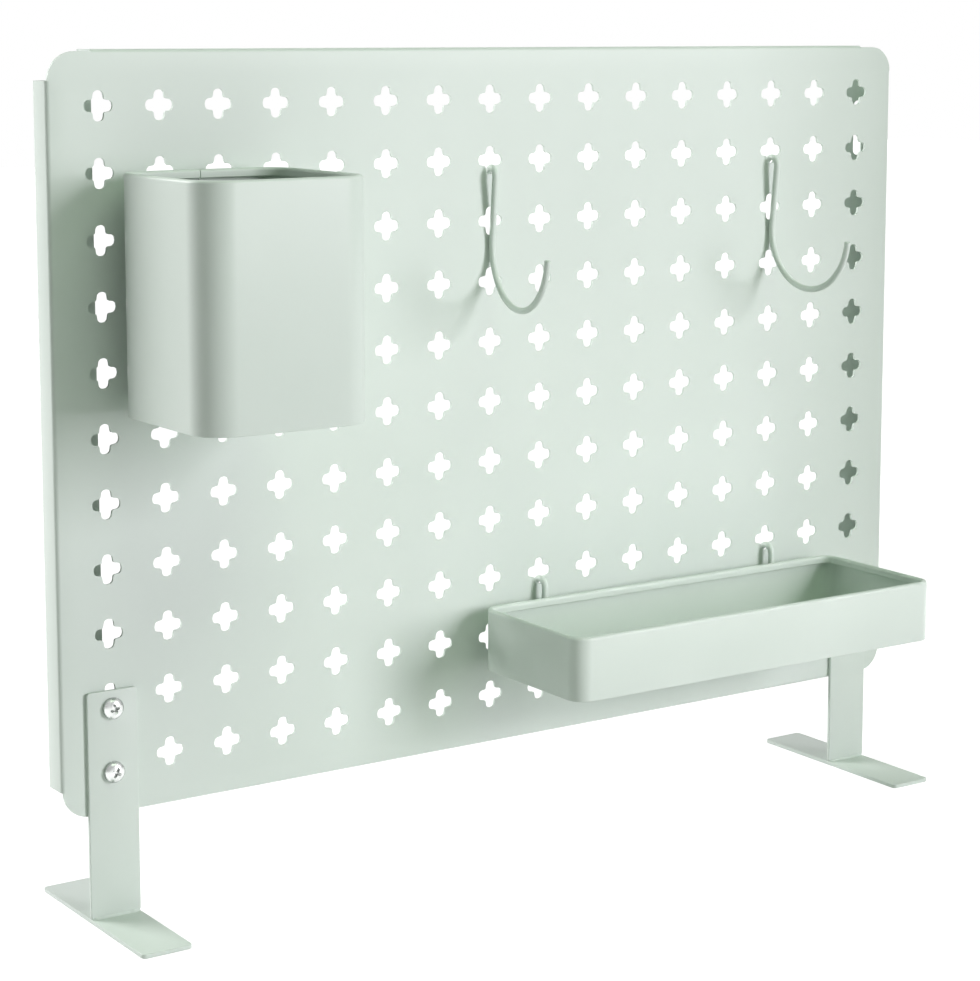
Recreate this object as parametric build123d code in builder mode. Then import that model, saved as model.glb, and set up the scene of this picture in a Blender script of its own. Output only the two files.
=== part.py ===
from build123d import *
from math import acos, atan2, cos, degrees, hypot, radians, sin, sqrt
import os

# Desktop pegboard organizer.
#
# A folded steel panel with a grid of cross-shaped holes stands on two T-shaped feet.
# A pen cup, a shallow tray and two wire hooks hang in the holes and lift off.
#
# Millimetres. +X is to the right as seen from the front, -Y is towards the user and
# +Z is up. The origin is on the desk, under the middle of the whole organizer.

os.makedirs("parts", exist_ok=True)

# ---------------------------------------------------------------- driving dimensions

# Panel
hole_pitch = 30.0  # between hole centres, across and up
hole_columns = 16
hole_rows = 11
edge_margin = 25.0  # outermost hole centres to the edges of the panel
panel_lift = 50.0  # desk to the lower edge of the panel
sheet = 1.2  # thickness of the panel's steel
corner_radius = 13.0
hole_size = 14.0  # cross hole, tip to tip
arm_width = 5.4  # width of the arms of the cross

# Folded edges of the panel
return_depth = 15.0  # front face to the rear of the folded edges
fold_radius = 2.0  # outside radius of each fold
fold_step = 0.8  # how far a folded side stands out past the plain corners
side_relief = 13.0  # height left unfolded at each end of the left and right edges
top_relief = 22.0  # length left unfolded at each end of the top and bottom edges
lip_width = 28.0  # inward lip behind the left and right edges
slot_length = 30.0  # wall-hanging slot in each lip
slot_width = 6.0
slot_inset = 11.0  # side of the panel to the middle of the slot
slot_drop = 45.0  # top of the panel to the middle of the slot

# Feet
strip_width = 25.0
upright_thickness = 2.0
plate_thickness = 2.0
foot_length = 108.0
upright_overhang = 8.3  # upper screw to the top of the upright
foot_corner = 2.5
upright_corner = 1.5

# Screws and nuts
screw_diameter = 5.0
screw_length = 10.0
head_diameter = 10.0
head_height = 3.7
head_rim = 1.4  # height of the straight rim of the head
recess_size = 4.8  # cross recess, tip to tip
recess_width = 1.1
recess_depth = 1.7
nut_across_flats = 8.0
nut_height = 5.0
flange_diameter = 11.8
flange_thickness = 1.2

# Sheet-metal containers
wall = 1.0  # thickness of the cup's and the tray's steel
hem_width = 3.0  # thickness of the rim, where the sheet is folded inwards
hem_height = 4.0
hem_bevel = 0.9  # bevel along the top of the rim

cup_width = 85.0
cup_depth = 87.0
cup_height = 109.0
cup_corner = 16.0
cup_rim_rise = 1.0  # centres of the cup's holes up to its rim
cup_row = 2
cup_columns = (2, 3)

tray_width = 230.0
tray_depth = 82.0
tray_height = 31.3
tray_corner = 8.5
tray_rim_drop = 12.3  # centres of the tray's holes down to its rim
tray_row = 9
tray_columns = (9, 14)

# Wire hangers and hooks
wire = 3.2
wire_sides = 12  # flat sides that the round wire is drawn with
standoff = 7.0  # front of the panel to whatever hangs on it
back_leg = 7.5  # wire end below the edge that it hangs on
cup_weld_length = 40.0  # straight wire welded down the back of the cup
tray_weld_length = 22.0
hook_stem = 30.0  # straight stem between the two bends of a hook
hook_bend_radius = 30.0
hook_tip_angle = 6.0  # how far the tip leans out from upright, in degrees
hook_row = 2
hook_columns = (8, 14)
hook_swings = (8.0, 0.0)  # how far each hook is swung to the left in its hole, in degrees
tip_chamfer = 0.5

# Clearances
hang_clearance = 0.3  # wire to the sheet that it hangs on, and hook to the panel
bolt_clearance = 0.5  # on the diameter, screw to its hole in the upright
thread_clearance = 0.1  # on the diameter, screw to nut
base_clearance = 0.1  # floor to the wall around it

# ---------------------------------------------------------------- derived places

panel_width = (hole_columns - 1) * hole_pitch + 2 * edge_margin
panel_height = (hole_rows - 1) * hole_pitch + 2 * edge_margin
panel_top = panel_lift + panel_height
panel_middle = panel_lift + panel_height / 2

# The origin is midway between the frontmost and the rearmost surface.
front_reach = standoff + max(cup_depth, tray_depth)
rear_reach = (foot_length - upright_thickness) / 2
front_y = (front_reach - rear_reach) / 2  # front face of the panel
back_y = front_y + sheet
return_y = front_y + return_depth
upright_front_y = front_y - upright_thickness
hanging_y = front_y - standoff  # backs of the cup and the tray

screw_drop = (hole_size - arm_width) / 2  # hole centre to the screw in its lower arm


def column_x(column):
    """Centre of a column of holes, counted from 1 at the left."""
    return (column - (hole_columns + 1) / 2) * hole_pitch


def row_z(row):
    """Centre of a row of holes, counted from 1 at the top."""
    return panel_top - edge_margin - (row - 1) * hole_pitch


# ---------------------------------------------------------------- panel

with BuildSketch() as cross_hole:
    # Two crossed slots, with their arms' ends drawn square.
    Rectangle(hole_size, arm_width)
    Rectangle(arm_width, hole_size)

field_width = hole_columns * hole_pitch
field_height = hole_rows * hole_pitch
side_fold_length = panel_height - 2 * side_relief
top_fold_length = panel_width - 2 * top_relief

with BuildPart() as hole_column:
    # One column of holes in its own strip of the sheet.
    with BuildSketch(Plane.XZ.offset(-front_y)):
        Rectangle(hole_pitch, field_height)
        with GridLocations(hole_pitch, hole_pitch, 1, hole_rows):
            add(cross_hole.sketch, mode=Mode.SUBTRACT)
    extrude(amount=-sheet)

with BuildPart() as pegboard_panel:
    # Plain margins around the field of holes. Where an edge is folded, the flat sheet
    # stops at the start of the fold.
    with BuildSketch(Plane.XZ.offset(-front_y)):
        with Locations((0, panel_middle)):
            RectangleRounded(panel_width - 2 * fold_step, panel_height - 2 * fold_step, corner_radius)
            Rectangle(field_width, field_height, mode=Mode.SUBTRACT)
            with Locations((-panel_width / 2, 0), (panel_width / 2, 0)):
                Rectangle(2 * fold_radius, side_fold_length, mode=Mode.SUBTRACT)
            with Locations((0, -panel_height / 2), (0, panel_height / 2)):
                Rectangle(top_fold_length, 2 * fold_radius, mode=Mode.SUBTRACT)
    extrude(amount=-sheet)

    for side in (-1, 1):
        # Left and right edges: folded back, then inwards to a lip.
        with BuildSketch(Plane.XY.offset(panel_middle - side_fold_length / 2)):
            with BuildLine():
                FilletPolyline(
                    (side * (panel_width / 2 - fold_radius - sheet), front_y),
                    (side * panel_width / 2, front_y),
                    (side * panel_width / 2, return_y),
                    (side * (panel_width / 2 - lip_width), return_y),
                    radius=fold_radius,
                )
                offset(amount=sheet, side=Side.LEFT if side > 0 else Side.RIGHT)
            make_face()
        extrude(amount=side_fold_length)

        # Top and bottom edges: folded straight back.
        with BuildSketch(Plane.YZ.offset(-top_fold_length / 2)):
            with BuildLine():
                FilletPolyline(
                    (front_y, panel_middle + side * (panel_height / 2 - fold_radius - sheet)),
                    (front_y, panel_middle + side * panel_height / 2),
                    (return_y, panel_middle + side * panel_height / 2),
                    radius=fold_radius,
                )
                offset(amount=sheet, side=Side.RIGHT if side > 0 else Side.LEFT)
            make_face()
        extrude(amount=top_fold_length)

    # Upright slots in the lips, to hang the panel on two wall screws.
    with BuildSketch(Plane.XZ.offset(-return_y)):
        slot_x = panel_width / 2 - slot_inset
        with Locations((-slot_x, panel_top - slot_drop), (slot_x, panel_top - slot_drop)):
            SlotOverall(slot_length, slot_width, rotation=90)
    extrude(amount=2 * sheet, mode=Mode.SUBTRACT)

    # The field of holes, column by column.
    with Locations(*[(column_x(column), 0, panel_middle) for column in range(1, hole_columns + 1)]):
        add(hole_column.part, clean=False)

pegboard_panel.part.label = "pegboard_panel"
export_step(pegboard_panel.part, "parts/pegboard_panel.step", write_pcurves=False)

# ---------------------------------------------------------------- feet, screws and nuts

# The two lowest holes of the first and the last column take the screws, which sit in
# the lower arms of the crosses.
foot_columns = {"left": 1, "right": hole_columns}
screw_heights = {
    "upper": row_z(hole_rows - 1) - screw_drop,
    "lower": row_z(hole_rows) - screw_drop,
}
upright_height = screw_heights["upper"] + upright_overhang  # desk to the top of the upright

for side, column in foot_columns.items():
    foot_x = column_x(column)

    with BuildPart() as foot_plate:
        with BuildSketch():
            with Locations((foot_x, upright_front_y + upright_thickness / 2)):
                RectangleRounded(strip_width, foot_length, foot_corner)
        extrude(amount=plate_thickness)

    foot_plate.part.label = f"{side}_foot_plate"
    export_step(foot_plate.part, f"parts/{side}_foot_plate.step")

    with BuildPart() as upright:
        with BuildSketch(Plane.XZ.offset(-front_y)):
            with Locations((foot_x, (plate_thickness + upright_height) / 2)):
                Rectangle(strip_width, upright_height - plate_thickness)
            with Locations(*[(foot_x, height) for height in screw_heights.values()]):
                Circle((screw_diameter + bolt_clearance) / 2, mode=Mode.SUBTRACT)
        extrude(amount=upright_thickness)
        fillet(upright.edges().filter_by(Axis.Y).group_by(Axis.Z)[-1], radius=upright_corner)

    upright.part.label = f"{side}_upright"
    export_step(upright.part, f"parts/{side}_upright.step")

    for level, height in screw_heights.items():
        head_plane = Plane((foot_x, upright_front_y, height), x_dir=(1, 0, 0), z_dir=(0, -1, 0))
        nut_plane = Plane((foot_x, back_y, height), x_dir=(1, 0, 0), z_dir=(0, 1, 0))

        with BuildPart() as screw:
            # Bevelled pan head with a cross recess, and the shank.
            with BuildSketch(head_plane):
                Circle(head_diameter / 2)
            extrude(amount=head_height)
            chamfer(screw.edges().sort_by(Axis.Y)[0], length=head_height - head_rim)
            with BuildSketch(head_plane):
                Circle(screw_diameter / 2)
            extrude(amount=-screw_length)
            with BuildSketch(head_plane.offset(head_height)):
                Rectangle(recess_size, recess_width)
                Rectangle(recess_width, recess_size)
            extrude(amount=-recess_depth, mode=Mode.SUBTRACT)

        screw.part.label = f"{level}_{side}_screw"
        export_step(screw.part, f"parts/{level}_{side}_screw.step")

        with BuildPart() as nut:
            with BuildSketch(nut_plane):
                Circle(flange_diameter / 2)
            extrude(amount=flange_thickness)
            with BuildSketch(nut_plane):
                RegularPolygon(nut_across_flats / 2, side_count=6, major_radius=False)
            extrude(amount=nut_height)
            with BuildSketch(nut_plane):
                Circle((screw_diameter + thread_clearance) / 2)
            extrude(amount=nut_height, mode=Mode.SUBTRACT)

        nut.part.label = f"{level}_{side}_nut"
        export_step(nut.part, f"parts/{level}_{side}_nut.step")

# ---------------------------------------------------------------- hanging wire

# Everything that hangs goes over the lower edge of a hole with the same hairpin bend:
# a short leg behind the sheet, half a turn over the edge, and a leg in front.
rear_leg_y = back_y + hang_clearance + wire / 2
front_leg_y = hanging_y + wire / 2
hairpin_radius = (rear_leg_y - front_leg_y) / 2
hairpin_y = (rear_leg_y + front_leg_y) / 2
hairpin_rise = sqrt((hairpin_radius - wire / 2) ** 2 - (back_y - hairpin_y) ** 2)


def hole_edge(row):
    """Top of the sheet below the holes of a row, which carries what hangs there."""
    return row_z(row) - hole_size / 2


def hairpin_z(row):
    """Centre of the hairpin bend, whose inside clears the rear corner of the edge."""
    return hole_edge(row) + hang_clearance - hairpin_rise


# ---------------------------------------------------------------- pen cup and tray


def make_wall(name, width, depth, height, corner, middle, rim_z):
    """Sheet bent round a rounded rectangle, its rim folded inwards and flattened."""
    with BuildPart() as container_wall:
        with BuildSketch(Plane.XY.offset(rim_z - height)):
            with Locations(middle):
                RectangleRounded(width, depth, corner)
                offset(amount=-wall, mode=Mode.SUBTRACT)
        extrude(amount=height)
        with BuildSketch(Plane.XY.offset(rim_z - hem_height)):
            with Locations(middle):
                RectangleRounded(width, depth, corner)
                offset(amount=-hem_width, mode=Mode.SUBTRACT)
        extrude(amount=hem_height)
        chamfer(container_wall.faces().sort_by(Axis.Z)[-1].edges(), length=hem_bevel)

    container_wall.part.label = f"{name}_wall"
    export_step(container_wall.part, f"parts/{name}_wall.step")


def make_base(name, width, depth, corner, middle, floor_z):
    """Flat floor set inside the lower end of the wall."""
    with BuildPart() as container_base:
        with BuildSketch(Plane.XY.offset(floor_z)):
            with Locations(middle):
                RectangleRounded(width, depth, corner)
                offset(amount=-(wall + base_clearance), mode=Mode.INTERSECT)
        extrude(amount=wall)

    container_base.part.label = f"{name}_base"
    export_step(container_base.part, f"parts/{name}_base.step")


def make_hanger(name, column, row, weld_length):
    """Hairpin of wire over the edge of a hole, welded down the back of a container."""
    with BuildPart() as hanger:
        with BuildLine(Plane.YZ.offset(column_x(column))) as route:
            rear_leg = Line((rear_leg_y, hole_edge(row) - back_leg), (rear_leg_y, hairpin_z(row)))
            hairpin = JernArc(rear_leg @ 1, rear_leg % 1, hairpin_radius, 180)
            Line(hairpin @ 1, hairpin @ 1 + (hairpin % 1) * weld_length)
        with BuildSketch(Plane(rear_leg @ 0, z_dir=rear_leg % 0)):
            RegularPolygon(wire / 2, side_count=wire_sides)
        sweep(path=route.wire())

    hanger.part.label = name
    export_step(hanger.part, f"parts/{name}.step")


for name, width, depth, height, corner, row, columns, rim_z, weld_length in (
    ("cup", cup_width, cup_depth, cup_height, cup_corner, cup_row, cup_columns,
     row_z(cup_row) + cup_rim_rise, cup_weld_length),
    ("tray", tray_width, tray_depth, tray_height, tray_corner, tray_row, tray_columns,
     row_z(tray_row) - tray_rim_drop, tray_weld_length),
):
    middle = (column_x(sum(columns) / 2), hanging_y - depth / 2)
    make_wall(name, width, depth, height, corner, middle, rim_z)
    make_base(name, width, depth, corner, middle, rim_z - height)
    for side, column in zip(("left", "right"), columns):
        make_hanger(f"{name}_hanger_{side}", column, row, weld_length)

# ---------------------------------------------------------------- wire hooks

# The stem leans back so that the rear of the big bend just clears the panel.
rear_gap_y = front_y - hang_clearance - wire / 2
bend_sum = hairpin_radius + hook_bend_radius
stem_reach = hairpin_y + hook_bend_radius - rear_gap_y
stem_lean = degrees(acos(stem_reach / hypot(bend_sum, hook_stem)) - atan2(hook_stem, bend_sum))

for side, column, swing in zip(("left", "right"), hook_columns, map(radians, hook_swings)):
    # The hook's upright plane, swung about the middle of its hairpin.
    hook_plane = Plane(
        (column_x(column), hairpin_y, 0),
        x_dir=(sin(swing), cos(swing), 0),
        z_dir=(cos(swing), -sin(swing), 0),
    )
    with BuildPart() as wire_hook:
        with BuildLine(hook_plane) as route:
            rear_leg = Line(
                (hairpin_radius, hole_edge(hook_row) - back_leg),
                (hairpin_radius, hairpin_z(hook_row)),
            )
            hairpin = JernArc(rear_leg @ 1, rear_leg % 1, hairpin_radius, 180 + stem_lean)
            stem = Line(hairpin @ 1, hairpin @ 1 + (hairpin % 1) * hook_stem)
            JernArc(stem @ 1, stem % 1, hook_bend_radius, hook_tip_angle - stem_lean - 180)
        with BuildSketch(Plane(rear_leg @ 0, x_dir=hook_plane.z_dir, z_dir=rear_leg % 0)):
            RegularPolygon(wire / 2, side_count=wire_sides)
        sweep(path=route.wire())
        wire_ends = wire_hook.faces().filter_by(lambda face: len(face.edges()) == wire_sides)
        chamfer(wire_ends.edges(), length=tip_chamfer)

    wire_hook.part.label = f"wire_hook_{side}"
    export_step(wire_hook.part, f"parts/wire_hook_{side}.step")
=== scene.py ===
import bpy
import bmesh
import numpy as np
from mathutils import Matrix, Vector


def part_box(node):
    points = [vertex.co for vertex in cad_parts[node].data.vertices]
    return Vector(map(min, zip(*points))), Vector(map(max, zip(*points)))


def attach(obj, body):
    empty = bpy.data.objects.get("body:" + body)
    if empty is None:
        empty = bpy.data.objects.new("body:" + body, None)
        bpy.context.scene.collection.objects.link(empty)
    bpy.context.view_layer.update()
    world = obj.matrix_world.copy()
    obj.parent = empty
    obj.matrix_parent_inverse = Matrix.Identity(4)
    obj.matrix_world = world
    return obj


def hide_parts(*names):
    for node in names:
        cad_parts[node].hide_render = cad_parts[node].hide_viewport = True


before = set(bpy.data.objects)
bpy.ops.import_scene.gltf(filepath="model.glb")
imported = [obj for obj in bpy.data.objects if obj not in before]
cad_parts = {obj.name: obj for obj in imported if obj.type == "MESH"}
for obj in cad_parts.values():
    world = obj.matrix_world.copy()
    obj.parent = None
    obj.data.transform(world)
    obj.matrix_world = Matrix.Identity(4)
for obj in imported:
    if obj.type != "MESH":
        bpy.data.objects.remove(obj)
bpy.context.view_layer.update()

mm = 0.001

# ------------------------------------------------------------------ perforated panel
# One sheet of 1.2 mm steel, punched with a grid of cross-shaped holes. All four edges
# are folded back, and the left and right ones are folded in again to a lip with a
# slot for a wall screw. The corners are left flat and rounded.

panel_low, panel_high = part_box("pegboard_panel")
hole_pitch = 30 * mm
hole_columns = 16
hole_rows = 11
hole_size = 14 * mm
arm_width = 5.4 * mm
inner_round = 1.1 * mm
arm_bluntness = 0.85
sheet = 1.2 * mm

# The flat corners lie a step inside the folded edges, and the folds of the top and bottom
# edges stop short of the panel's sides by a relief.
fold_radius = 2 * mm
fold_step = 0.8 * mm
corner_radius = 13 * mm
top_relief = 22 * mm
lip_width = 28 * mm
slot_length = 30 * mm
slot_width = 6 * mm
slot_inset = 11 * mm
slot_drop = 45 * mm
slot_margin = 8 * mm

scene = bpy.context.scene
front_y = panel_low.y
back_y = front_y + sheet
return_y = panel_high.y
panel_middle = (panel_low.z + panel_high.z) / 2
half_width = panel_high.x
half_height = (panel_high.z - panel_low.z) / 2
field_x = hole_columns * hole_pitch / 2
field_z = hole_rows * hole_pitch / 2
column_x = (np.arange(hole_columns) + 0.5) * hole_pitch - field_x
row_z = panel_middle + field_z - (np.arange(hole_rows) + 0.5) * hole_pitch

# Where the edge of each hole's square of sheet is divided, from its middle: at the ends of
# the folds, at the tips of the cross and at the start of the rounded corners.
outer_column = column_x[-1]
tip_line = hole_size / 2
fold_end = half_width - top_relief - outer_column
corner_start = half_width - fold_step - corner_radius - outer_column
divisions = np.array([-hole_pitch / 2, -corner_start, -tip_line, -fold_end, -fold_end / 2, 0,
                      fold_end / 2, fold_end, tip_line, corner_start])

# Points nearer than the point gap are one point, a line of the grid is reached within the
# grid gap, and an edge that bends by more than the sharp bend, in degrees, stays sharp.
point_gap = 0.002 * mm
grid_gap = 0.1 * mm
sharp_bend = 30


def grid_faces(rows, columns, around=False):
    """Faces between neighbouring points of a grid: point (i, j) is number i * columns + j.
    With around, the last column joins the first one."""
    i, j = np.mgrid[0:rows - 1, 0:columns - (not around)]
    k = (j + 1) % columns
    corners = (i * columns + j, i * columns + k, (i + 1) * columns + k, (i + 1) * columns + j)
    return np.stack(corners, -1).reshape(-1, 4)


def four_turns(side):
    """The same (x, z) points turned clockwise by 0, 90, 180 and 270 degrees."""
    turned = np.array([[1, 0], [0, 1]])
    quarter = np.array([[0, -1], [1, 0]])
    sides = []
    for _ in range(4):
        sides.append(side @ turned)
        turned = turned @ quarter
    return np.concatenate(sides)


def cross_outline():
    """One arm of the cross ends in half a blunt circle of radius r around (0, s): the points
    (r c^b, s + r s^b), with c and s the cosine and sine and b a power below 1. Before it come
    the middle and the end of the rounded inner corner, and after it the start of the next."""
    r = arm_width / 2
    a = np.radians(np.arange(180, -1, -30))
    blunt = np.sign(np.cos(a)) * abs(np.cos(a)) ** arm_bluntness
    arm = np.stack([r * blunt, tip_line - r + r * np.sin(a).clip(0) ** arm_bluntness], -1)
    middle = r + inner_round * (1 - np.sqrt(0.5))
    end = r + inner_round
    return four_turns(np.vstack([[-middle, middle], [-r, end], arm, [r, end]]))


def square_outline():
    """The edge of the hole's square of sheet, divided so that each point has one on the hole."""
    return four_turns(np.stack([divisions, np.full(divisions.size, hole_pitch / 2)], -1))


def fold_profile(lip):
    """Section of a folded edge, as distance s out from the field of holes and depth y. The
    outside of each fold is a quarter circle: (s + r sin a, y - r cos a), then (s + r cos a,
    y + r sin a) into the lip."""
    start = half_width - field_x - fold_radius
    depth = return_y - front_y
    a = np.radians(np.linspace(0, 90, 6))
    flat = [[0, 0]]
    fold = np.stack([start + fold_radius * np.sin(a), fold_radius - fold_radius * np.cos(a)], -1)
    if not lip:
        return np.vstack([flat, fold, [[start + fold_radius, depth]]])
    back = np.stack([start + fold_radius * np.cos(a),
                     depth - fold_radius + fold_radius * np.sin(a)], -1)
    return np.vstack([flat, fold, back, [[half_width - field_x - lip_width, depth]]])


def slot_outline(count):
    """A slot with round ends: (r cos t, h sign(sin t) + r sin t), up its right side and down
    its left."""
    r = slot_width / 2
    h = slot_length / 2 - r
    t = np.radians(np.linspace(-90, 90, count))
    half = np.stack([r * np.cos(t), h * np.sign(np.round(np.sin(t), 6)) + r * np.sin(t)], -1)
    return np.vstack([half, half[::-1] * [-1, 1]])


def panel_patches():
    """Outer surface of the folded sheet, as (points, faces) patches that share their edges."""
    patches = []

    # Squares of sheet with a hole: rings from the cross to the edge of the square.
    ring = np.stack([cross_outline(), square_outline()])
    middles = np.stack(np.meshgrid(column_x, row_z), -1).reshape(-1, 1, 1, 2)
    squares = (middles + ring).reshape(-1, 2)
    faces = grid_faces(2, ring.shape[1], around=True)
    shift = np.arange(hole_columns * hole_rows)[:, None, None] * ring.shape[0] * ring.shape[1]
    points = np.insert(squares, 1, front_y, axis=1)
    patches.append((points, [(faces + shift).reshape(-1, 4)]))

    # Top edge, and the bottom edge as its reflection.
    across = np.unique(np.round(column_x[:, None] + [*divisions, hole_pitch / 2], 7))
    across = across[np.abs(across) < outer_column + fold_end + grid_gap]
    profile = fold_profile(lip=False)
    x, s = np.meshgrid(across, profile[:, 0])
    y = np.repeat(front_y + profile[:, 1:], across.size, axis=1)
    faces = grid_faces(*x.shape)
    for side in (1, -1):
        points = np.stack([x, y, panel_middle + side * (field_z + s)], -1).reshape(-1, 3)
        patches.append((points, [faces[:, ::side]]))

    # Right edge with its lip, and the left edge as its reflection. Around the slot, the
    # flat of the lip is a ring from the slot to the neighbouring points of the grid.
    upward = np.unique(np.round(row_z[:, None] + [*divisions, hole_pitch / 2], 7))
    fold_top = half_height - fold_step - corner_radius
    upward = upward[np.abs(upward - panel_middle) < fold_top + grid_gap]
    profile = fold_profile(lip=True)
    z, s = np.meshgrid(upward, profile[:, 0])
    y = np.repeat(front_y + profile[:, 1:], upward.size, axis=1)
    faces = grid_faces(*z.shape)[:, ::-1]
    slot_z = panel_middle + half_height - slot_drop
    near = np.flatnonzero(np.abs(upward - slot_z) < slot_length / 2 + slot_margin)
    lip_row = (len(profile) - 2) * (upward.size - 1)
    lip_faces = lip_row + near[:-1]
    faces = np.delete(faces, lip_faces, axis=0)
    slot = slot_outline(near.size) + [half_width - slot_inset, slot_z]
    outer = np.vstack([
        np.stack([np.full(near.size, field_x + profile[-2, 0]), upward[near]], -1),
        np.stack([np.full(near.size, field_x + profile[-1, 0]), upward[near][::-1]], -1),
    ])
    slot_ring = np.insert(np.vstack([slot, outer]), 1, return_y, axis=1)
    slot_faces = grid_faces(2, 2 * near.size, around=True)
    for side in (1, -1):
        points = np.stack([side * (field_x + s), y, z], -1).reshape(-1, 3)
        patches.append((points, [faces[:, ::side]]))
        patches.append((slot_ring * [side, 1, 1], [slot_faces[:, ::side]]))

    # Flat corners: one face each, from the field round the outside of the corner.
    a = np.radians(np.linspace(0, 90, 13))
    centre = half_width - fold_step - corner_radius
    arc = [centre, fold_top] + corner_radius * np.stack([np.cos(a), np.sin(a)], -1)
    start = half_width - fold_radius
    top = half_height - fold_radius
    steps = outer_column + np.array([fold_end, tip_line, corner_start])
    corner = np.vstack([
        np.stack([steps, np.full(steps.size, field_z)], -1),
        [[field_x, field_z], [field_x, fold_top], [start, fold_top]],
        arc,
        [[steps[0], half_height - fold_step], [steps[0], top]],
    ])
    corner = np.insert(corner, 1, front_y, axis=1)
    order = np.arange(len(corner))[None]
    for side_x in (1, -1):
        for side_z in (1, -1):
            points = corner * [side_x, 1, side_z] + [0, 0, panel_middle]
            patches.append((points, [order[:, ::side_x * side_z]]))
    return patches


def make_mesh(name, patches, sharp=sharp_bend, closed=False):
    """Joins patches, each of points and arrays of faces, along their shared edges into one
    smooth mesh, whose edges that bend by more than some degrees stay sharp. The faces of a
    closed one are turned outwards."""
    points, faces, count = [], [], 0
    for patch_points, face_groups in patches:
        points.append(patch_points)
        for group in face_groups:
            faces += (group + count).tolist()
        count += len(patch_points)
    mesh = bpy.data.meshes.new(name)
    mesh.from_pydata(np.concatenate(points).tolist(), [], faces)
    merged = bmesh.new()
    merged.from_mesh(mesh)
    bmesh.ops.remove_doubles(merged, verts=merged.verts, dist=point_gap)
    bmesh.ops.dissolve_degenerate(merged, edges=merged.edges, dist=point_gap / 2)
    if closed:
        bmesh.ops.recalc_face_normals(merged, faces=merged.faces)
    merged.to_mesh(mesh)
    merged.free()
    mesh.shade_smooth()
    mesh.set_sharp_from_angle(angle=np.radians(sharp))
    return mesh


def make_piece(name, mesh, body, material, slot, *nodes):
    """Puts a mesh in the scene as a piece that rides on a body and stands for its nodes."""
    piece = bpy.data.objects.new(name, mesh)
    scene.collection.objects.link(piece)
    mesh.materials.append(material)
    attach(piece, body)
    if nodes:
        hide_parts(*nodes)


def thickened(mesh, thickness):
    """Gives a sheet's outer surface its thickness, inwards, and keeps its folds smooth."""
    piece = bpy.data.objects.new("sheet", mesh)
    scene.collection.objects.link(piece)
    solid = piece.modifiers.new("thickness", "SOLIDIFY")
    solid.thickness = thickness
    solid.offset = -1
    solid.use_even_offset = True
    bpy.context.view_layer.update()
    evaluated = piece.evaluated_get(bpy.context.evaluated_depsgraph_get())
    made = bpy.data.meshes.new_from_object(evaluated)
    bpy.data.objects.remove(piece)
    made.set_sharp_from_angle(angle=np.radians(sharp_bend))
    return made


class Socket:
    """One output of a shader node. Sums and products of outputs and numbers add Math nodes,
    so that a pattern reads as a formula."""

    def __init__(self, tree, output=None):
        self.tree = tree
        self.output = output

    def node(self, kind, settings, sockets, output=0):
        """Adds a node. Its settings come first, a ramp's stops among them, then the values or
        links of its sockets."""
        node = self.tree.nodes.new(kind)
        for name, value in settings.items():
            if name == "stops":
                for stop, (place, shade) in zip(node.color_ramp.elements, value):
                    stop.position = place
                    stop.color = shade
            else:
                setattr(node, name, value)
        for name, value in sockets.items():
            if isinstance(value, Socket):
                self.tree.links.new(value.output, node.inputs[name])
            else:
                node.inputs[name].default_value = value
        return Socket(self.tree, node.outputs[output] if node.outputs else None)

    def math(self, operation, first, second):
        """Adds a Math node."""
        return self.node("ShaderNodeMath", {"operation": operation}, {0: first, 1: second})

    def __add__(self, other):
        return self.math("ADD", self, other)

    def __radd__(self, other):
        return self.math("ADD", other, self)

    def __mul__(self, other):
        return self.math("MULTIPLY", self, other)

    def __rmul__(self, other):
        return self.math("MULTIPLY", other, self)


def new_material(name):
    """An empty material and the socket class to write its nodes with."""
    material = bpy.data.materials.new(name)
    material.use_nodes = True
    material.node_tree.nodes.clear()
    return material, Socket(material.node_tree)


# The coat's two shades, the waves and specks of its patterns per metre, and its relief.
coat_dark = (0.625, 0.705, 0.642, 1)
coat_light = (0.660, 0.738, 0.676, 1)
drift_waves = 14.0
peel_waves = 900.0
grain_waves = 3600.0
specks = 620.0
coat_relief = 0.06 * mm


def powder_coat():
    """Matt sage-mint powder coat: a faint orange peel about a millimetre across with finer
    grain on it, and a colour and gloss that drift a little over the sheet."""
    material, shade = new_material("powder_coat")
    place = shade.node("ShaderNodeTexCoord", {}, {}, "Object")
    drift = shade.node("ShaderNodeTexNoise", {}, {"Vector": place, "Scale": drift_waves, "Detail": 2.0})
    peel = shade.node("ShaderNodeTexNoise", {}, {"Vector": place, "Scale": peel_waves, "Detail": 1.0})
    grain = shade.node("ShaderNodeTexNoise", {}, {"Vector": place, "Scale": grain_waves, "Detail": 2.0})
    speck = shade.node("ShaderNodeTexVoronoi", {"feature": "F1"}, {"Vector": place, "Scale": specks})
    colour = shade.node(
        "ShaderNodeValToRGB",
        {"stops": [(0.3, coat_dark), (0.7, coat_light)]},
        {"Fac": drift * 0.8 + grain * 0.2},
    )
    height = peel * 0.7 + grain * 0.25 + speck * 0.05
    bump = shade.node(
        "ShaderNodeBump", {}, {"Height": height, "Strength": 0.22, "Distance": coat_relief},
    )
    surface = shade.node(
        "ShaderNodeBsdfPrincipled",
        {},
        {
            "Base Color": colour,
            "Roughness": 0.33 + grain * 0.06 + drift * 0.04,
            "Specular IOR Level": 0.32,
            "Normal": bump,
        },
    )
    shade.node("ShaderNodeOutputMaterial", {}, {"Surface": surface})
    return material


coat = powder_coat()
panel_mesh = thickened(make_mesh("panel_sheet", panel_patches()), sheet)
make_piece("perforated_panel", panel_mesh, "stand", coat, "powder_coat", "pegboard_panel")

# ------------------------------------------------------------------ feet
# Two T-shaped feet of 25 mm steel strip: an upright welded on end to a plate. Their
# edges are rubbed smooth, and a thin line of weld runs along both sides of the joint.

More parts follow.
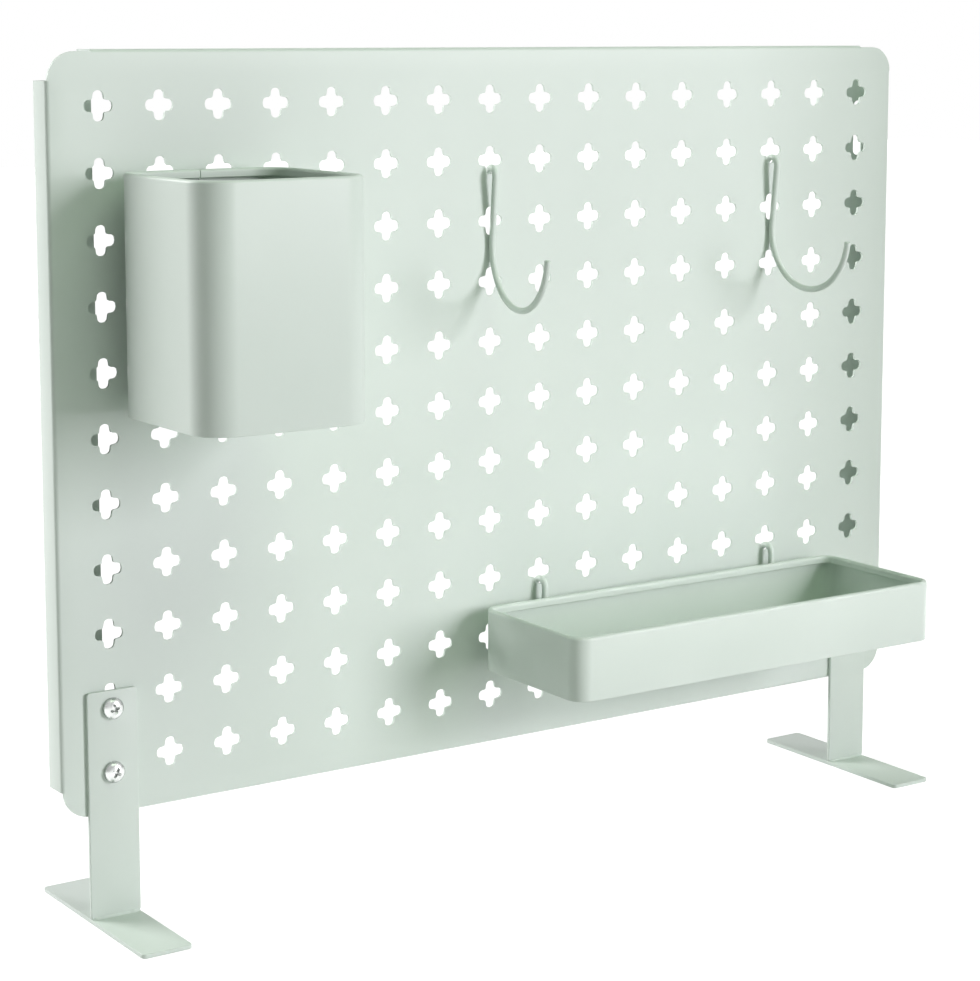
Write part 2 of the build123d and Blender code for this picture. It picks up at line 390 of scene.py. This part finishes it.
foot_corner = 2.5 * mm
upright_corner = 1.5 * mm
edge_round = 0.35 * mm
weld_leg = 1.1 * mm
weld_short = 1 * mm
weld_sharp_bend = 50


def rounded_rectangle(width, depth, radius, steps=8):
    """Outline of a rounded rectangle and its outward normals, anticlockwise from above: each
    corner is (cx + r cos a, cy + r sin a), and its normal is (cos a, sin a)."""
    a = np.radians(np.linspace(0, 90, steps + 1))
    a = np.concatenate([a + turn * np.pi / 2 for turn in range(4)])
    normals = np.stack([np.cos(a), np.sin(a)], -1)
    signs = np.repeat([[1, 1], [-1, 1], [-1, -1], [1, -1]], steps + 1, axis=0)
    centres = signs * [width / 2 - radius, depth / 2 - radius]
    return centres + radius * normals, normals


def round_an_outline(outline, normals, section):
    """Carries a section of (distance in from the outline, height) points round an outline:
    each point is the outline's, less the distance times the normal there."""
    inward, height = section[:, 0, None, None], section[:, 1, None, None]
    level = outline[None] - inward * normals[None]
    return np.concatenate([level, np.broadcast_to(height, level.shape[:2] + (1,))], -1)


def solid_patch(rings):
    """A stack of rings as one patch: faces round them, and a flat face over the first and the
    last ring."""
    rows, count = rings.shape[:2]
    first = np.arange(count)[None]
    faces = [grid_faces(rows, count, around=True), first[:, ::-1], first + (rows - 1) * count]
    return rings.reshape(-1, 3), faces


def plate_rings(width, depth, radius, thickness):
    """A flat plate: its outline carried round a section with a quarter circle of radius e at
    both rims, (e - e sin a, e - e cos a)."""
    a = np.radians(np.linspace(0, 90, 4))
    rim = edge_round * np.stack([1 - np.sin(a), 1 - np.cos(a)], -1)
    top = rim[::-1] * [1, -1] + [0, thickness]
    outline, normals = rounded_rectangle(width, depth, radius)
    return round_an_outline(outline, normals, np.vstack([rim, top]))


def weld_rings(length, leg, turns=40):
    """A fillet of weld along X: a hollow quarter section whose leg swells a little along the
    seam, leg (1 + 0.12 sin(12 pi u) + 0.06 sin(31 u)), and fades out at both ends. Its flat
    sides lie a twentieth of the leg inside the metal."""
    u = np.linspace(0, 1, turns)
    swell = leg * (1 + 0.12 * np.sin(12 * u * np.pi) + 0.06 * np.sin(31 * u))
    swell *= np.minimum(1, 0.15 + 8 * np.minimum(u, 1 - u)) ** 0.5
    a = np.radians(np.linspace(0, 90, 6))
    hollow = np.stack([1 - 0.85 * np.sin(a), 1 - 0.85 * np.cos(a)], -1)
    section = np.vstack([[[-0.05, -0.05], [1, -0.05]], hollow[::-1], [[-0.05, 1]]])
    rings = np.empty((turns, len(section), 3))
    rings[..., 0] = ((u - 0.5) * length)[:, None]
    rings[..., 1:] = section[None] * swell[:, None, None]
    return rings


for side in ("left", "right"):
    plate_low, plate_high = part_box(f"{side}_foot_plate")
    strip_low, strip_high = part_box(f"{side}_upright")
    size = plate_high - plate_low
    middle = (plate_low + plate_high) / 2
    rings = plate_rings(size.x, size.y, foot_corner, size.z) + [middle.x, middle.y, plate_low.z]
    mesh = make_mesh(f"{side}_plate_mesh", [solid_patch(rings)], closed=True)
    make_piece(f"{side}_plate", mesh, "stand", coat, "powder_coat", f"{side}_foot_plate")

    size = strip_high - strip_low
    middle = (strip_low + strip_high) / 2
    rings = plate_rings(size.x, size.z, upright_corner, size.y)
    rings = rings[..., [0, 2, 1]] + [middle.x, strip_low.y, middle.z]
    mesh = make_mesh(f"{side}_strip_mesh", [solid_patch(rings)], closed=True)
    make_piece(f"{side}_strip", mesh, "stand", coat, "powder_coat", f"{side}_upright")

    seams = []
    for direction, seam_y in ((-1, strip_low.y), (1, strip_high.y)):
        seam = weld_rings(size.x - 2 * weld_short, weld_leg) * [1, direction, 1]
        seams.append(solid_patch(seam + [middle.x, seam_y, plate_high.z]))
    mesh = make_mesh(f"{side}_foot_weld_mesh", seams, sharp=weld_sharp_bend, closed=True)
    make_piece(f"{side}_foot_weld", mesh, "stand", coat, "powder_coat")

# ------------------------------------------------------------------ screws and nuts
# Zinc-plated M5 pan-head screws go through the uprights and the lower arms of the two
# outermost holes of the panel, and are held behind it by flanged hexagon nuts.

head_radius = 5 * mm
head_height = 3.7 * mm
head_rim = 1.4 * mm
rim_bevel = 0.15 * mm
recess_depth = 1.9 * mm
recess_reach = 2.5 * mm
recess_half_width = 0.66 * mm
recess_wall_share = 0.35
recess_end_share = 0.6
shank_radius = 2.5 * mm
shank_tip_share = 0.72
thread_pitch = 0.8 * mm
thread_depth = 0.42 * mm
thread_steps = 6
screw_sharp_bend = 35
head_turns = {"upper_left": 17, "lower_left": -28, "upper_right": 40, "lower_right": 8}

flat_to_flat = 8 * mm
bore_radius = 2.55 * mm
bore_bevel = 0.35 * mm
nut_cone_height = 1.1 * mm
nut_cone_share = 0.48
nut_cone_slope = 1.73
nut_foot = 0.3 * mm
flange_height = 1.2 * mm
flange_bevel = 0.25 * mm
flange_rim_low = 0.2 * mm
flange_rim_high = 0.55 * mm
flange_slope = 0.35 * mm
flange_top = 0.85 * mm

zinc_dark = (0.41, 0.425, 0.415, 1)
zinc_light = (0.60, 0.62, 0.605, 1)
cloud_waves = 260.0
fine_waves = 2600.0
zinc_relief = 0.03 * mm


def zinc_plate():
    """Bright zinc: a silver grey whose shade and gloss change a little over the part, with a
    fine plating grain."""
    material, shade = new_material("zinc_plated_steel")
    place = shade.node("ShaderNodeTexCoord", {}, {}, "Object")
    cloud = shade.node("ShaderNodeTexNoise", {}, {"Vector": place, "Scale": cloud_waves, "Detail": 3.0})
    grain = shade.node("ShaderNodeTexNoise", {}, {"Vector": place, "Scale": fine_waves, "Detail": 2.0})
    colour = shade.node(
        "ShaderNodeValToRGB", {"stops": [(0.3, zinc_dark), (0.7, zinc_light)]}, {"Fac": cloud},
    )
    bump = shade.node(
        "ShaderNodeBump", {}, {"Height": grain, "Strength": 0.15, "Distance": zinc_relief},
    )
    surface = shade.node(
        "ShaderNodeBsdfPrincipled",
        {},
        {"Base Color": colour, "Metallic": 1.0, "Roughness": 0.20 + cloud * 0.14, "Normal": bump},
    )
    shade.node("ShaderNodeOutputMaterial", {}, {"Surface": surface})
    return material


def turned_rings(radius, height):
    """Rings about the Z axis, from arrays (rings, steps round) of radius and height."""
    a = np.linspace(0, 2 * np.pi, radius.shape[1], endpoint=False)
    return np.stack([radius * np.cos(a), radius * np.sin(a), height], -1)


def screw_rings(length, steps=96):
    """A pan-head screw with its head up. The head's height is rim + dome (1 - (r / R)^2.4)^0.55,
    less a cross recess whose depth falls off linearly across its arms and along them. The
    shank's radius is a triangle wave of s / pitch - a / 2 pi, with a cone at its tip."""
    a = np.linspace(0, 2 * np.pi, steps, endpoint=False)[None]
    inner = np.linspace(0, 0.54, 28)
    outer = np.sin(np.linspace(np.arcsin(0.56), np.pi / 2, 14))
    r = head_radius * np.concatenate([inner, outer])[:, None]
    dome = (1 - (r / head_radius).clip(0, 1) ** 2.4) ** 0.55
    across = np.minimum(abs(r * np.cos(a)), abs(r * np.sin(a)))
    along = np.maximum(abs(r * np.cos(a)), abs(r * np.sin(a)))
    walls = ((recess_half_width - across) / (recess_wall_share * recess_half_width)).clip(0, 1)
    ends = ((recess_reach - along) / (recess_end_share * recess_reach)).clip(0, 1)
    top = head_rim + (head_height - head_rim) * dome - recess_depth * walls * ends
    rim = np.array([[head_radius, rim_bevel], [head_radius - rim_bevel, 0], [shank_radius, 0]])
    s = np.arange(0, length + point_gap, thread_pitch / thread_steps)[:, None]
    wave = abs(2 * ((s / thread_pitch - a / (2 * np.pi)) % 1) - 1)
    tip = shank_tip_share * shank_radius + length - s
    thread = np.minimum(shank_radius - thread_depth * wave, tip)
    around = np.ones((1, steps))
    radius = np.vstack([r * around, rim[:, :1] * around, thread, 0 * around])
    height = np.vstack([top, rim[:, 1:] * around, -s * around, -length * around])
    return turned_rings(radius, height)


def nut_rings(flange_radius, height, steps=72):
    """A flanged nut standing on its flange. The hexagon's radius is (f / 2) / cos(a), a being
    the angle from the middle of the nearest flat, and a cone takes its top corners off."""
    a = np.linspace(0, 2 * np.pi, steps, endpoint=False)
    from_flat = (a + np.pi / 6) % (np.pi / 3) - np.pi / 6
    hexagon = flat_to_flat / 2 / np.cos(from_flat)
    around = np.ones(steps)
    below = np.array([
        [bore_radius, 0],
        [flange_radius - flange_bevel, 0],
        [flange_radius, flange_rim_low],
        [flange_radius, flange_rim_high],
        [flange_radius - flange_slope, flange_top],
    ])
    h = np.linspace(height - nut_cone_height, height, 8)[:, None]
    cone = np.minimum(hexagon, nut_cone_share * flat_to_flat + nut_cone_slope * (height - h))
    above = np.array([
        [bore_radius + bore_bevel, height], [bore_radius, height - bore_bevel], [bore_radius, 0],
    ])
    foot = np.stack([hexagon + flange_bevel, hexagon])
    foot_height = np.array([[flange_height], [flange_height + nut_foot]])
    radius = np.vstack([below[:, :1] * around, foot, cone, above[:, :1] * around])
    levels = np.vstack([below[:, 1:], foot_height, h, above[:, 1:]])
    return turned_rings(radius, levels * around)


def turned_solid(name, rings, turn, side, seat, sharp=sharp_bend):
    """A turned part as a closed mesh: turned by some degrees about its own axis, then laid
    along Y, forwards (side -1) or backwards (side 1), and put on its seat."""
    twist = np.radians(turn)
    laid = np.array([
        [np.cos(twist), 0, np.sin(twist)],
        [-np.sin(twist), 0, np.cos(twist)],
        [0, side, 0],
    ])
    patch = ((rings @ laid + seat).reshape(-1, 3), [grid_faces(*rings.shape[:2], around=True)])
    return make_mesh(name, [patch], sharp=sharp, closed=True)


zinc = zinc_plate()
for place, turn in head_turns.items():
    screw_low, screw_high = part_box(f"{place}_screw")
    nut_low, nut_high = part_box(f"{place}_nut")
    middle = (screw_low + screw_high) / 2
    seat_y = screw_low.y + head_height
    seat = (middle.x, seat_y, middle.z)
    rings = screw_rings(screw_high.y - seat_y)
    mesh = turned_solid(f"{place}_screw_mesh", rings, turn, -1, seat, sharp=screw_sharp_bend)
    make_piece(
        f"{place}_pan_head_screw", mesh, "stand", zinc, "zinc_plated_steel", f"{place}_screw",
    )
    seat = (middle.x, nut_low.y, middle.z)
    rings = nut_rings((nut_high.x - nut_low.x) / 2, nut_high.y - nut_low.y)
    mesh = turned_solid(f"{place}_nut_mesh", rings, 2 * turn, 1, seat)
    make_piece(f"{place}_flange_nut", mesh, "stand", zinc, "zinc_plated_steel", f"{place}_nut")

# ------------------------------------------------------------------ pen cup and tray
# Each is a strip of 1 mm steel bent round a rounded rectangle and butt-welded at the back.
# Its rim is rolled inwards to an open hem, and a flat floor is set into its lower end. Two
# hairpins of 3.2 mm wire are welded to the back and hang over the edges of two holes.

container_sheet = 1 * mm
hem_width = 3 * mm
hem_drop = 4 * mm
hem_edge_round = 0.2 * mm
lower_round = 0.45 * mm
seam_width = 0.5 * mm
seam_shares = (0.9, 0.25, -0.25, -0.9)
seam_depths = {"cup": 0.45 * mm, "tray": 0}
floor_gap = 0.1 * mm
container_corners = {"cup": 16 * mm, "tray": 8.5 * mm}
container_bodies = {"cup": "pen_cup", "tray": "tray"}

wire_radius = 1.6 * mm
wire_end_round = 0.5 * mm
leg_below_hole = 7.5 * mm
hang_clearance = 0.3 * mm
bead_length = 8 * mm
bead_width = 2.6 * mm
bead_height = 1.5 * mm
bead_places = 0.6
bend_step = 5


def wall_rings(width, depth, height, corner, seam):
    """The bent strip: its section carried round a rounded rectangle. The hem is half a circle
    of radius R = hem / 2 outside and R - t inside, (R - r cos a, top - R + r sin a), and the
    strip's cut edge hangs below its end. At the seam the inside is let in by a depth, or by
    nothing where the seam is ground flush."""
    bend = hem_width / 2
    cut_edge = height - hem_drop
    a = np.radians(np.linspace(0, 90, 4))
    lower_rim = lower_round * np.stack([1 - np.sin(a), 1 - np.cos(a)], -1)
    a = np.radians(np.linspace(0, 180, 17))
    half_turn = np.stack([-np.cos(a), np.sin(a)], -1)
    section = np.vstack([
        lower_rim,
        [bend, height - bend] + bend * half_turn,
        [[hem_width, cut_edge + hem_edge_round], [hem_width - hem_edge_round, cut_edge]],
        [[hem_width - container_sheet, cut_edge]],
        [bend, height - bend] + (bend - container_sheet) * half_turn[::-1],
        [[container_sheet, 0], [lower_round, 0]],
    ])
    outline, normals = rounded_rectangle(width, depth, corner, steps=20)
    back = len(outline) // 4
    beside = [[share * seam_width, depth / 2] for share in seam_shares]
    outline = np.insert(outline, [back] * len(beside), beside, axis=0)
    normals = np.insert(normals, [back] * len(beside), [0, 1], axis=0)
    groove = np.zeros(len(outline))
    groove[back + 1:back + 3] = seam
    inside = (section[:, 0] > container_sheet - point_gap) & (section[:, 1] > 0)
    rings = round_an_outline(outline, normals, section)
    rings[..., :2] += inside[:, None, None] * groove[None, :, None] * normals[None]
    return rings


def bent_wire(start, runs):
    """Centre line of a bent wire in its own upright plane, from an end that points up. Each
    run is a straight length, then a bend of radius r through an angle, to the left where it
    is positive: the points (along, up) = centre + r (sin h, -cos h), with h the heading, or
    centre - r (sin h, -cos h) to the right."""
    point, heading = np.array(start), np.pi / 2
    points, headings = [point[None]], [np.array([heading])]
    for length, radius, angle in runs:
        reach = np.sign(angle) * radius
        point = point + length * np.array([np.cos(heading), np.sin(heading)])
        centre = point + reach * np.array([-np.sin(heading), np.cos(heading)])
        h = heading + np.radians(np.linspace(0, angle, int(abs(angle) / bend_step) + 1))
        points.append(centre + reach * np.stack([np.sin(h), -np.cos(h)], -1))
        headings.append(h)
        point, heading = points[-1][-1], h[-1]
    return np.concatenate(points), np.concatenate(headings)


def wire_rings(line, headings, place, swing=0.0, steps=20):
    """Round wire along a centre line, in an upright plane swung to the left about a place.
    Each ring is the circle r (cos a, sin a) across the heading, and each cut end is rounded
    over a quarter circle: the rings e (1 - cos b) from it have the radius r - e (1 - sin b)."""
    b = np.radians(np.linspace(0, 90, 5))
    cut = wire_end_round * (1 - np.cos(b))[:, None]
    end_radius = wire_radius - wire_end_round * (1 - np.sin(b))
    ahead = np.stack([np.cos(headings), np.sin(headings)], -1)
    line = np.vstack([line[0] + cut * ahead[0], line[1:-1], line[-1] - cut[::-1] * ahead[-1]])
    radius = np.concatenate([end_radius, np.full(len(ahead) - 2, wire_radius), end_radius[::-1]])
    ahead = np.vstack([ahead[[0] * b.size], ahead[1:-1], ahead[[-1] * b.size]])
    a = np.linspace(0, 2 * np.pi, steps, endpoint=False)
    out = radius[:, None] * np.sin(a)
    aside = radius[:, None] * np.cos(a)
    along = line[:, :1] - ahead[:, 1:] * out
    up = line[:, 1:] + ahead[:, :1] * out
    x = along * np.sin(swing) + aside * np.cos(swing)
    y = along * np.cos(swing) - aside * np.sin(swing)
    return np.stack([x, y, up], -1) + place


def weld_bead(place, steps=24):
    """A bead of weld over a wire on a wall: half an ellipsoid, (w cos u cos v, h sin v,
    l sin u cos v), whose width ripples by 6% along its length."""
    v = np.radians(np.linspace(0, 90, 7))[:, None]
    u = np.linspace(0, 2 * np.pi, steps, endpoint=False)[None]
    ripple = 1 + 0.06 * np.cos(14 * np.sin(u))
    x = bead_width * ripple * np.cos(u) * np.cos(v)
    y = bead_height * np.sin(v) + 0 * u
    z = bead_length / 2 * np.sin(u) * np.cos(v)
    return np.stack([x, y, z], -1) + place


# The hairpin that everything hangs by, from the first hanger's box. Its inside rises from
# its middle by hairpin_rise to the hole's lower edge, and its rear leg ends below that edge.
hanger_low, hanger_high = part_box("cup_hanger_left")
hairpin_radius = (hanger_high.y - hanger_low.y) / 2 - wire_radius
hairpin_y = (hanger_high.y + hanger_low.y) / 2
hairpin_rise = np.sqrt((hairpin_radius - wire_radius) ** 2 - (back_y - hairpin_y) ** 2)
rear_leg = leg_below_hole + hang_clearance - hairpin_rise

for name, body in container_bodies.items():
    wall_low, wall_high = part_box(f"{name}_wall")
    size = wall_high - wall_low
    middle = (wall_low + wall_high) / 2
    rings = wall_rings(size.x, size.y, size.z, container_corners[name], seam_depths[name])
    rings = rings + [middle.x, middle.y, wall_low.z]
    patch = (rings.reshape(-1, 3), [grid_faces(*rings.shape[:2], around=True)])
    mesh = make_mesh(f"{name}_bent_wall_mesh", [patch], closed=True)
    make_piece(f"{name}_bent_wall", mesh, body, coat, "powder_coat", f"{name}_wall")

    base_low, base_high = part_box(f"{name}_base")
    inset = container_sheet + floor_gap
    floor_corner = container_corners[name] - inset
    floor_sheet = base_high.z - base_low.z
    rings = plate_rings(size.x - 2 * inset, size.y - 2 * inset, floor_corner, floor_sheet)
    rings = rings + [middle.x, middle.y, base_low.z]
    mesh = make_mesh(f"{name}_floor_mesh", [solid_patch(rings)], closed=True)
    make_piece(f"{name}_floor", mesh, body, coat, "powder_coat", f"{name}_base")

    beads = []
    for side in ("left", "right"):
        hanger = f"{name}_hanger_{side}"
        hanger_low, hanger_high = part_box(hanger)
        hanger_x = (hanger_low.x + hanger_high.x) / 2
        hairpin_z = hanger_high.z - wire_radius - hairpin_radius
        front_leg = hairpin_z - hanger_low.z
        line, headings = bent_wire((hairpin_radius, hairpin_z - rear_leg),
                                   [(rear_leg, hairpin_radius, 180), (front_leg, 0, 0)])
        rings = wire_rings(line, headings, (hanger_x, hairpin_y, 0))
        mesh = make_mesh(f"{name}_hairpin_{side}_mesh", [solid_patch(rings)], closed=True)
        make_piece(f"{name}_hairpin_{side}", mesh, body, coat, "powder_coat", hanger)
        for height in (bead_places * bead_length, bead_places * front_leg):
            bead = weld_bead((hanger_x, wall_high.y, hanger_low.z + height))
            beads.append(solid_patch(bead))
    mesh = make_mesh(f"{name}_weld_mesh", beads, sharp=weld_sharp_bend, closed=True)
    make_piece(f"{name}_welds", mesh, body, coat, "powder_coat")

# ------------------------------------------------------------------ wire hooks
# J-shaped hooks of the same wire: the hairpin over the edge of a hole, a stem that leans
# back to the panel, and a large bend with a short tip. The left one hangs a little askew.

hook_columns = {"left": 8, "right": 14}
hook_swings = {"left": 8, "right": 0}
hook_stem = 30 * mm
hook_bend_radius = 30 * mm
hook_tip_angle = 6

# The stem leans by the angle a at which the large bend comes back to the panel's face:
# bend_sum cos a - hook_stem sin a = stem_reach.
bend_sum = hairpin_radius + hook_bend_radius
stem_reach = hairpin_y + hook_bend_radius - (front_y - hang_clearance - wire_radius)
lean = np.arccos(stem_reach / np.hypot(bend_sum, hook_stem)) - np.arctan2(hook_stem, bend_sum)
stem_lean = np.degrees(lean)

for side, column in hook_columns.items():
    hook_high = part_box(f"wire_hook_{side}")[1]
    hairpin_z = hook_high.z - wire_radius - hairpin_radius
    line, headings = bent_wire(
        (hairpin_radius, hairpin_z - rear_leg),
        [
            (rear_leg, hairpin_radius, 180 + stem_lean),
            (hook_stem, hook_bend_radius, hook_tip_angle - stem_lean - 180),
        ],
    )
    place = (column_x[column - 1], hairpin_y, 0)
    rings = wire_rings(line, headings, place, np.radians(hook_swings[side]))
    mesh = make_mesh(f"{side}_hook_mesh", [solid_patch(rings)], closed=True)
    make_piece(f"{side}_j_hook", mesh, f"{side}_hook", coat, "powder_coat", f"wire_hook_{side}")

# ------------------------------------------------------------------ camera and light
# Stands in for the studio: a camera level with the panel's top, off to its left, a tall
# softbox far off to the front right, a small one behind the left edge, weak ones above and
# on the tray, and white all round.

# The picture's height, and the lens's focal length and the row its axis meets, in pixels.
image_height = 981
focal_pixels = 2494.4
axis_row = 363

# Its place from the middle of the panel's face, in hole pitches, and its turns in degrees.
camera_place = Vector((-23.425, -34.007, 6.104)) * hole_pitch
camera_turn = -33.979
camera_tilt = -7.59
farthest_seen = 50

lens_data = bpy.data.cameras.new("camera")
lens_data.sensor_width = 36
lens_data.lens = focal_pixels * lens_data.sensor_width / image_height
lens_data.shift_y = (axis_row - image_height / 2) / image_height
lens_data.clip_end = farthest_seen
camera = bpy.data.objects.new("camera", lens_data)
camera.location = camera_place + Vector((0, front_y, panel_middle))
camera.rotation_euler = np.radians((90 + camera_tilt, 0, camera_turn))
scene.collection.objects.link(camera)
scene.camera = camera
scene.view_settings.view_transform = "Standard"


def soft_lamp(name, place, target, size, watts, tint, spread=180):
    """A softbox that faces a point of the object and spreads its light over some degrees."""
    data = bpy.data.lights.new(name, "AREA")
    data.shape = "RECTANGLE"
    data.size, data.size_y = size
    data.energy = watts
    data.color = tint
    data.spread = np.radians(spread)
    lamp = bpy.data.objects.new(name, data)
    lamp.location = place
    lamp.rotation_euler = (Vector(target) - Vector(place)).to_track_quat("-Z", "Y").to_euler()
    scene.collection.objects.link(lamp)


panel_centre = (0, 0.02, 0.24)
panel_left = (-0.2, 0, 0.25)
tray_centre = (0.08, -0.05, 0.11)
soft_lamp("key", (2.55, -4.0, 1.25), panel_centre, (1.3, 2.6), 174, (0.98, 0.92, 1))
soft_lamp("left", (-1.1, 1.1, 1.0), panel_left, (0.8, 0.8), 29, (1, 0.98, 1))
soft_lamp("top", (0.1, -0.8, 1.8), panel_centre, (1.2, 1.2), 11, (0.80, 1, 0.75))
soft_lamp("tray", (0.55, -1.3, 0.62), tray_centre, (0.3, 0.3), 0.05, (1, 0.97, 1), spread=12)

# A dark card beside the key light's path, between two places (x, y) on the floor, keeps some
# of it off the right end.
card_edge = np.array([0.709, -0.681])
card_far = np.array([0.982, -0.461])
card_top = 0.9
card_mesh = bpy.data.meshes.new("card")
corners = [(*card_edge, 0), (*card_far, 0), (*card_far, card_top), (*card_edge, card_top)]
card_mesh.from_pydata(corners, [], [(0, 1, 2, 3)])
card = bpy.data.objects.new("card", card_mesh)
scene.collection.objects.link(card)
card.visible_camera = False
card.visible_glossy = False
card.visible_diffuse = False
material, shade = new_material("card_black")
dark = shade.node("ShaderNodeBsdfDiffuse", {}, {"Color": (0.02, 0.02, 0.02, 1)})
shade.node("ShaderNodeOutputMaterial", {}, {"Surface": dark})
card_mesh.materials.append(material)


def seen(shade):
    """1 for a ray from the camera, from a reflection or through glass, and otherwise 0."""
    rays = [shade.node("ShaderNodeLightPath", {}, {}, kind)
            for kind in ("Is Camera Ray", "Is Glossy Ray", "Is Transmission Ray")]
    return rays[0] + rays[1] + rays[2]


world = bpy.data.worlds.new("studio")
scene.world = world
world.use_nodes = True
world.node_tree.nodes.clear()
shade = Socket(world.node_tree)
fill = shade.node("ShaderNodeBackground", {}, {"Color": (0.90, 1, 0.90, 1), "Strength": 0.02})
white = shade.node("ShaderNodeBackground", {}, {"Color": (1, 1, 1, 1), "Strength": 1.0})
surround = shade.node("ShaderNodeMixShader", {}, {0: seen(shade), 1: fill, 2: white})
shade.node("ShaderNodeOutputWorld", {}, {"Surface": surround})

# The floor glows white for the camera, a little more far off, and more in reflections.
floor_reach = 6
floor_glow = 0.93
glow_rise = 0.04
glow_in_reflections = 0.8
floor_mesh = bpy.data.meshes.new("floor")
corners = [(-1, -1, 0), (1, -1, 0), (1, 1, 0), (-1, 1, 0)]
floor_mesh.from_pydata((np.array(corners) * floor_reach).tolist(), [], [(0, 1, 2, 3)])
floor = bpy.data.objects.new("floor", floor_mesh)
scene.collection.objects.link(floor)
material, shade = new_material("floor_white")
lit = shade.node("ShaderNodeBsdfDiffuse", {}, {"Color": (0.8, 0.8, 0.8, 1)})
place = shade.node("ShaderNodeTexCoord", {}, {}, "Object")
reach = shade.node("ShaderNodeVectorMath", {"operation": "LENGTH"}, {0: place}, "Value")
glossy = shade.node("ShaderNodeLightPath", {}, {}, "Is Glossy Ray")
strength = reach * glow_rise + floor_glow + glossy * glow_in_reflections
glow = shade.node("ShaderNodeEmission", {}, {"Color": (1, 1, 1, 1), "Strength": strength})
faint = shade.node("ShaderNodeBsdfDiffuse", {}, {"Color": (0.25, 0.25, 0.25, 1)})
white = shade.node("ShaderNodeAddShader", {}, {0: glow, 1: faint})
surface = shade.node("ShaderNodeMixShader", {}, {0: seen(shade), 1: lit, 2: white})
shade.node("ShaderNodeOutputMaterial", {}, {"Surface": surface})
floor_mesh.materials.append(material)
